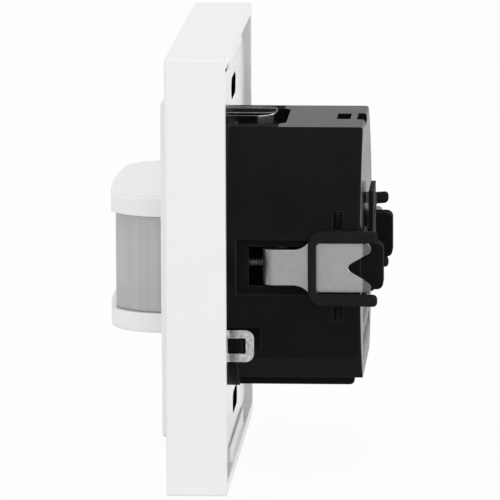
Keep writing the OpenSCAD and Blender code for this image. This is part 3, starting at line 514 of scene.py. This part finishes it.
# claw bands: a bar over the claw, two arms with free round ends, and a flat strap round the lug on the rear
band = {"x": 28.475, "thick": 1.45, "barY": 16.15, "barWide": 1.5, "armZ": 5.85, "armWide": 2.2,
        "bend": 1.75, "end": 28.2, "endRound": 0.8, "endTaper": 0.5, "strapY": 25.6, "strapWide": 2.1,
        "strapThick": 0.9, "strapStart": 28.2, "crossX": 20.95, "crossWide": 1.6, "crossBend": 0.9,
        "round": 0.4, "mostRound": 0.45, "roundSteps": 3, "cornerSteps": 7}


# outline of the rubber's section, with round corners
def bandSection(wide, thick):
    r = min(band["round"], band["mostRound"] * wide, band["mostRound"] * thick)
    steps = band["roundSteps"]
    outline = []
    for quarter, (a, b) in enumerate(((1, 1), (-1, 1), (-1, -1), (1, -1))):
        for step in range(steps + 1):
            turn = math.radians(90 * quarter + 90 * step / steps)
            outline.append((a * (wide / 2 - r) + r * math.cos(turn),
                            b * (thick / 2 - r) + r * math.sin(turn)))
    return outline


# stations of the upper half from the bar's middle to the arm's end:
# a place, the section's two directions, and its two widths
def armHalf(spread):
    b = band
    forward, across, up = Vector((0, -1, 0)), Vector((1, 0, 0)), Vector((0, 0, 1))
    stations = []
    flat = b["armZ"] - b["bend"]
    for share in (0.1, 0.4, 0.7, 0.9):
        stations.append((Vector((b["x"], b["barY"], flat * share)), forward, across,
                         b["barWide"], b["thick"]))
    for step in range(b["cornerSteps"] + 1):
        share = step / b["cornerSteps"]
        turn = math.radians(90 * share)
        out = forward * math.cos(turn) + up * math.sin(turn)
        centre = Vector((b["x"], b["barY"] + b["bend"], flat))
        wide = b["barWide"] + (b["armWide"] - b["barWide"]) * share
        stations.append((centre + out * b["bend"], out, across, wide, b["thick"]))
    start = b["barY"] + b["bend"]
    run = b["end"] - start
    straight = 1 - b["endRound"] / run
    for share in (0.15, 0.3, 0.45, 0.6, 0.75, 0.88):
        along = share * straight
        place = Vector((b["x"], start + run * along, b["armZ"] + spread * along * along))
        stations.append((place, up, across, b["armWide"], b["thick"]))
    for step in range(b["cornerSteps"] + 1):
        turn = math.radians(90 * step / b["cornerSteps"])
        y = b["end"] - b["endRound"] * (1 - math.sin(turn))
        less = 2 * b["endRound"] * (1 - math.cos(turn))
        along = (y - start) / run
        place = Vector((b["x"], y, b["armZ"] + spread * along * along))
        stations.append((place, up, across, b["armWide"] - less, b["thick"] - b["endTaper"] * less))
    return stations


# stations of the strap's upper half, from inside the arm to the middle of its cross piece
def strapHalf(spread):
    b = band
    across, back, up = Vector((1, 0, 0)), Vector((0, 1, 0)), Vector((0, 0, 1))
    along = (b["strapY"] - b["barY"] - b["bend"]) / (b["end"] - b["barY"] - b["bend"])
    level = b["armZ"] + spread * along * along
    turned = b["crossX"] + b["crossBend"]
    stations = []
    for share in (0, 0.3, 0.6, 0.9):
        x = b["strapStart"] + (turned - b["strapStart"]) * share
        stations.append((Vector((x, b["strapY"], level)), up, back, b["strapWide"], b["strapThick"]))
    for step in range(b["cornerSteps"] + 1):
        share = step / b["cornerSteps"]
        turn = math.radians(90 * share)
        out = up * math.cos(turn) - across * math.sin(turn)
        centre = Vector((turned, b["strapY"], level - b["crossBend"]))
        wide = b["strapWide"] + (b["crossWide"] - b["strapWide"]) * share
        stations.append((centre + out * b["crossBend"], out, back, wide, b["strapThick"]))
    for share in (0.7, 0.4, 0.1):
        place = Vector((b["crossX"], b["strapY"], (level - b["crossBend"]) * share))
        stations.append((place, -across, back, b["crossWide"], b["strapThick"]))
    return stations


# the lower half for an upper one, run the other way
def flipped(stations):
    flip = Vector((1, 1, -1))
    return [(place * flip, first * flip, second * flip, wide, thick)
            for place, first, second, wide, thick in reversed(stations)]


# a run of rubber through its stations, closed at both ends
def sweep(form, stations, sign, rise):
    rings = []
    for place, first, second, wide, thick in stations:
        ring = []
        for a, b in bandSection(wide, thick):
            at = place + first * a + second * b
            ring.append(form.verts.new((sign * at.x, at.y, at.z + rise)))
        rings.append(ring)
    closedSkin(form, rings)


def makeBand(side):
    sign, rise, spread = (sides[side][key] for key in ("sign", "rise", "spread"))
    form = bmesh.new()
    arms = armHalf(spread)
    sweep(form, flipped(arms) + arms, sign, rise)
    strap = strapHalf(spread)
    sweep(form, strap + flipped(strap), sign, rise)
    piece = newPiece(f"band_loop_{side}", form, "band_rubber", sharp=60)
    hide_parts(f"claw_band_{side}")
    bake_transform(piece)


# claw screws: a threaded shank and a domed head with a slot and a short cross slot
screw = {"x": 21.5, "headFront": -2.8, "headBack": -1.0, "headR": 2.8, "dome": 0.45, "domeSteps": 5,
         "chamfer": 0.15, "slotHalf": 0.4, "slotLong": 2.3, "slotShort": 1.6, "slotDeep": 1.0,
         "plainEnd": 1.5, "end": 13.6, "tip": 0.6, "tipCone": 0.3, "tipLess": 0.4, "threadR": 1.5,
         "coreR": 1.2, "pitch": 0.5, "flank": 1.6, "around": 36, "perTurn": 8}


# a ring of the screw's skin; with a phase it runs through the thread's wave
def ringAt(form, x, y, radius, phase=None):
    ring = []
    for i in range(screw["around"]):
        turn = 2 * math.pi * i / screw["around"]
        r = radius
        if phase is not None:
            wave = (phase - i / screw["around"]) % 1.0
            r = radius - (screw["threadR"] - screw["coreR"]) * min(1.0, screw["flank"] * abs(2 * wave - 1))
        ring.append(form.verts.new((x + r * math.sin(turn), y, r * math.cos(turn))))
    return ring


def loopEdges(form, ring):
    return [form.edges.get((a, b)) or form.edges.new((a, b)) for a, b in zip(ring, ring[1:] + ring[:1])]


def makeScrew(side):
    s = screw
    x = sides[side]["sign"] * s["x"]
    form = bmesh.new()
    # rings from the edge of the front face over the head and down the shank
    rings = []
    for step in reversed(range(s["domeSteps"] + 1)):
        turn = math.radians(90 * step / s["domeSteps"])
        rings.append(ringAt(form, x, s["headFront"] + s["dome"] * (1 - math.sin(turn)),
                            s["headR"] - s["dome"] * (1 - math.cos(turn))))
    rings.append(ringAt(form, x, s["headBack"] - s["chamfer"], s["headR"]))
    rings.append(ringAt(form, x, s["headBack"], s["headR"] - s["chamfer"]))
    rings.append(ringAt(form, x, s["headBack"], s["threadR"]))
    rings.append(ringAt(form, x, s["plainEnd"], s["threadR"]))
    count = int((s["end"] - s["tip"] - s["plainEnd"]) / s["pitch"] * s["perTurn"])
    for step in range(1, count + 1):
        y = s["plainEnd"] + step * s["pitch"] / s["perTurn"]
        rings.append(ringAt(form, x, y, s["threadR"], step / s["perTurn"]))
    rings.append(ringAt(form, x, s["end"] - s["tipCone"], s["coreR"]))
    rings.append(ringAt(form, x, s["end"], s["coreR"] - s["tipLess"]))
    skin(form, rings)
    form.faces.new(rings[-1])
    # the slots: walls from a cross-shaped outline down to their floor
    h, u, v = s["slotHalf"], s["slotShort"], s["slotLong"]
    cross = [(h, h), (h, v), (-h, v), (-h, h), (-u, h), (-u, -h),
             (-h, -h), (-h, -v), (h, -v), (h, -h), (u, -h), (u, h)]
    top = [form.verts.new((x + a, s["headFront"], b)) for a, b in cross]
    floor = [form.verts.new((x + a, s["headFront"] + s["slotDeep"], b)) for a, b in cross]
    skin(form, [top, floor])
    bmesh.ops.triangle_fill(form, use_beauty=True, edges=loopEdges(form, rings[0]) + loopEdges(form, top))
    bmesh.ops.triangle_fill(form, use_beauty=True, edges=loopEdges(form, floor))
    bmesh.ops.translate(form, verts=form.verts, vec=(0, 0, sides[side]["rise"]))
    piece = newPiece(f"screw_thread_{side}", form, "zinc_steel", sharp=30)
    dress(piece, "screw_steel")
    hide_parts(f"claw_screw_{side}")
    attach(piece, f"claw_screw_{side}")


for side in sides:
    makeBand(side)
    makeScrew(side)
print("bands and screws made")


# catch over the ring's upper tongue: a narrow strip with one turned-up edge and a rolled tip,
# and the leg under it that stands on the tongue
catch = {"half": 2.95, "top": 25.27, "thick": 0.64, "root": -0.3, "narrowFrom": 5.7, "thinFrom": 4.4,
         "end": 8.3, "endHalf": 0.9, "endThick": 0.15, "rim": 0.28, "steps": 24, "legStart": 4.7,
         "legEnd": 7.7, "legThick": 0.4, "legInset": 0.25, "legOverlap": 0.1, "legSteps": 6, "foot": 22.45,
         "footCorner": 0.7, "beadStart": 4.6, "beadEnd": 8.05, "beadR": 0.15, "beadIn": 0.05,
         "beadDrop": 0.08, "beadTaper": 0.4, "beadGrow": 4, "beadShrink": 8, "beadSteps": 16,
         "beadAround": 10}


# half width of the strip and the height of its underside at a depth
def stripAt(y):
    c = catch
    narrow = max(0.0, (y - c["narrowFrom"]) / (c["end"] - c["narrowFrom"]))
    thin = max(0.0, (y - c["thinFrom"]) / (c["end"] - c["thinFrom"]))
    half = c["endHalf"] + (c["half"] - c["endHalf"]) * math.sqrt(max(0.0, 1 - narrow * narrow))
    return half, c["top"] - c["thick"] + (c["thick"] - c["endThick"]) * thin * thin


def makeCatch():
    c = catch
    form = bmesh.new()
    rings = []
    for step in range(c["steps"] + 1):
        y = c["root"] + (c["end"] - c["root"]) * step / c["steps"]
        half, under = stripAt(y)
        lip = c["rim"] - half
        section = ((half, c["top"]), (half, under), (-half, under), (-half, c["top"] + c["rim"]),
                   (lip, c["top"] + c["rim"]), (lip, c["top"]))
        rings.append([form.verts.new((x, y, z)) for x, z in section])
    closedSkin(form, rings)
    strip = newPiece("catch_strip", form, "zinc_steel", sharp=30)
    dress(strip, "catch_steel")
    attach(strip, "switch")
    # the leg, just inside the strip's near edge, with round lower corners
    outline = []
    for sign, turn in ((1, 0), (1, 30), (1, 60), (1, 90), (-1, 90), (-1, 60), (-1, 30), (-1, 0)):
        middle = c["legEnd"] - c["footCorner"] if sign > 0 else c["legStart"] + c["footCorner"]
        outline.append((middle + sign * c["footCorner"] * math.cos(math.radians(turn)),
                        c["foot"] + c["footCorner"] * (1 - math.sin(math.radians(turn)))))
    for step in range(c["legSteps"] + 1):
        y = c["legStart"] + (c["legEnd"] - c["legStart"]) * step / c["legSteps"]
        outline.append((y, stripAt(y)[1] + c["legOverlap"]))
    form = bmesh.new()
    sheets = [[form.verts.new((stripAt(y)[0] - inset, y, z)) for y, z in outline]
              for inset in (c["legInset"], c["legInset"] + c["legThick"])]
    closedSkin(form, sheets)
    leg = newPiece("catch_leg", form, "zinc_steel", sharp=30)
    dress(leg, "screw_steel")
    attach(leg, "switch")
    # the rolled lower edge of the strip's tip
    form = bmesh.new()
    rings = []
    for step in range(c["beadSteps"] + 1):
        share = step / c["beadSteps"]
        y = c["beadStart"] + (c["beadEnd"] - c["beadStart"]) * share
        half, under = stripAt(y)
        r = c["beadR"] * min(1.0, c["beadTaper"] + c["beadGrow"] * share,
                             c["beadTaper"] + c["beadShrink"] * (1 - share))
        turns = [2 * math.pi * i / c["beadAround"] for i in range(c["beadAround"])]
        rings.append([form.verts.new((half - c["beadIn"] + r * math.cos(turn), y,
                                      under - c["beadDrop"] + r * math.sin(turn))) for turn in turns])
    closedSkin(form, rings)
    bead = newPiece("catch_bead", form, "zinc_steel", sharp=60)
    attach(bead, "switch")


makeCatch()
print("catch made")


# the stage: a white floor that keeps a soft shadow, and a white surround
stage = {"floorZ": -40.6, "floorHalf": 4000.0, "floorGrey": 0.9, "whiteShare": 0.95, "glossShare": 0.6,
         "skyLight": 0.56}


# share of white for rays that see the backdrop itself: from the camera, in gloss or through glass
def seesBackdrop(finish, direct, inGloss):
    seen = 0
    for name, share in (("Is Camera Ray", direct), ("Is Glossy Ray", inGloss),
                        ("Is Transmission Ray", inGloss)):
        seen = finish.add("ShaderNodeLightPath", out=name) * share + seen
    return finish.add("ShaderNodeMath", {"operation": "MINIMUM"}, {0: seen, 1: 1.0})


def makeFloor():
    form = bmesh.new()
    half = stage["floorHalf"]
    form.faces.new([form.verts.new((x * half, y * half, stage["floorZ"]))
                    for x, y in ((-1, -1), (1, -1), (1, 1), (-1, 1))])
    mesh = bpy.data.meshes.new("floor")
    form.to_mesh(mesh)
    form.free()
    mesh.transform(Matrix.Scale(mm, 4))
    floor = bpy.data.objects.new("floor", mesh)
    scene.collection.objects.link(floor)
    finish = Finish(bpy.data.materials.new("floor_white"))
    grey = stage["floorGrey"]
    lit = finish.add("ShaderNodeBsdfDiffuse", {}, {"Color": (grey, grey, grey, 1)})
    white = finish.add("ShaderNodeEmission", {}, {"Color": (1, 1, 1, 1), "Strength": 1.0})
    seen = seesBackdrop(finish, stage["whiteShare"], stage["glossShare"])
    both = finish.add("ShaderNodeMixShader", {}, {0: seen, 1: lit, 2: white})
    finish.put(finish.nodes["Material Output"].inputs["Surface"], both)
    mesh.materials.append(finish.holder)


def makeSky():
    world = bpy.data.worlds.new("studio")
    scene.world = world
    finish = Finish(world)
    light = finish.add("ShaderNodeBackground", {}, {"Color": (1, 1, 1, 1), "Strength": stage["skyLight"]})
    white = finish.add("ShaderNodeBackground", {}, {"Color": (1, 1, 1, 1), "Strength": 1.0})
    both = finish.add("ShaderNodeMixShader", {}, {0: seesBackdrop(finish, 1.0, 1.0), 1: light, 2: white})
    finish.put(finish.nodes["World Output"].inputs["Surface"], both)


makeFloor()
makeSky()

# soft lamps that face the object, with places and sizes in metres
lamps = {"top": {"at": (0.15, -0.1, 0.9), "size": 0.9, "power": 1.9},
         "front": {"at": (0.3, -1.0, 0.35), "size": 0.8, "power": 2.1},
         "camera": {"at": (1.15, 0.2, 0.12), "size": 0.8, "power": 1.9},
         "rear": {"at": (0.35, 1.0, 0.3), "size": 0.8, "power": 5.4}}
for name, lamp in lamps.items():
    data = bpy.data.lights.new(name, "AREA")
    data.shape = "DISK"
    data.size = lamp["size"]
    data.energy = lamp["power"]
    lampObject = bpy.data.objects.new(name, data)
    lampObject.location = lamp["at"]
    lampObject.rotation_euler = Vector(lamp["at"]).to_track_quat("Z", "Y").to_euler()
    scene.collection.objects.link(lampObject)
print("stage and lamps set")

# the photograph's camera: place, lens and sensor in millimetres, angles in degrees, near and far in metres
view = {"at": (1084.274, 69.211, 185.316), "azimuth": 93.495, "elevation": 9.757, "roll": -0.236,
        "lens": 419.1, "sensor": 36, "near": 0.05, "far": 20}


def makeCamera():
    turn, lift, roll = (math.radians(view[key]) for key in ("azimuth", "elevation", "roll"))
    back = Vector((math.sin(turn) * math.cos(lift), -math.cos(turn) * math.cos(lift), math.sin(lift)))
    level = Vector((0, 0, 1)).cross(back).normalized()
    upright = back.cross(level)
    right = level * math.cos(roll) + upright * math.sin(roll)
    up = upright * math.cos(roll) - level * math.sin(roll)
    data = bpy.data.cameras.new("photo_camera")
    data.sensor_width = view["sensor"]
    data.lens = view["lens"]
    data.clip_start = view["near"]
    data.clip_end = view["far"]
    camera = bpy.data.objects.new("photo_camera", data)
    pose = Matrix((right, up, back)).transposed().to_4x4()
    pose.translation = Vector(view["at"]) * mm
    camera.matrix_world = pose
    scene.collection.objects.link(camera)
    scene.camera = camera


makeCamera()
print("camera set")
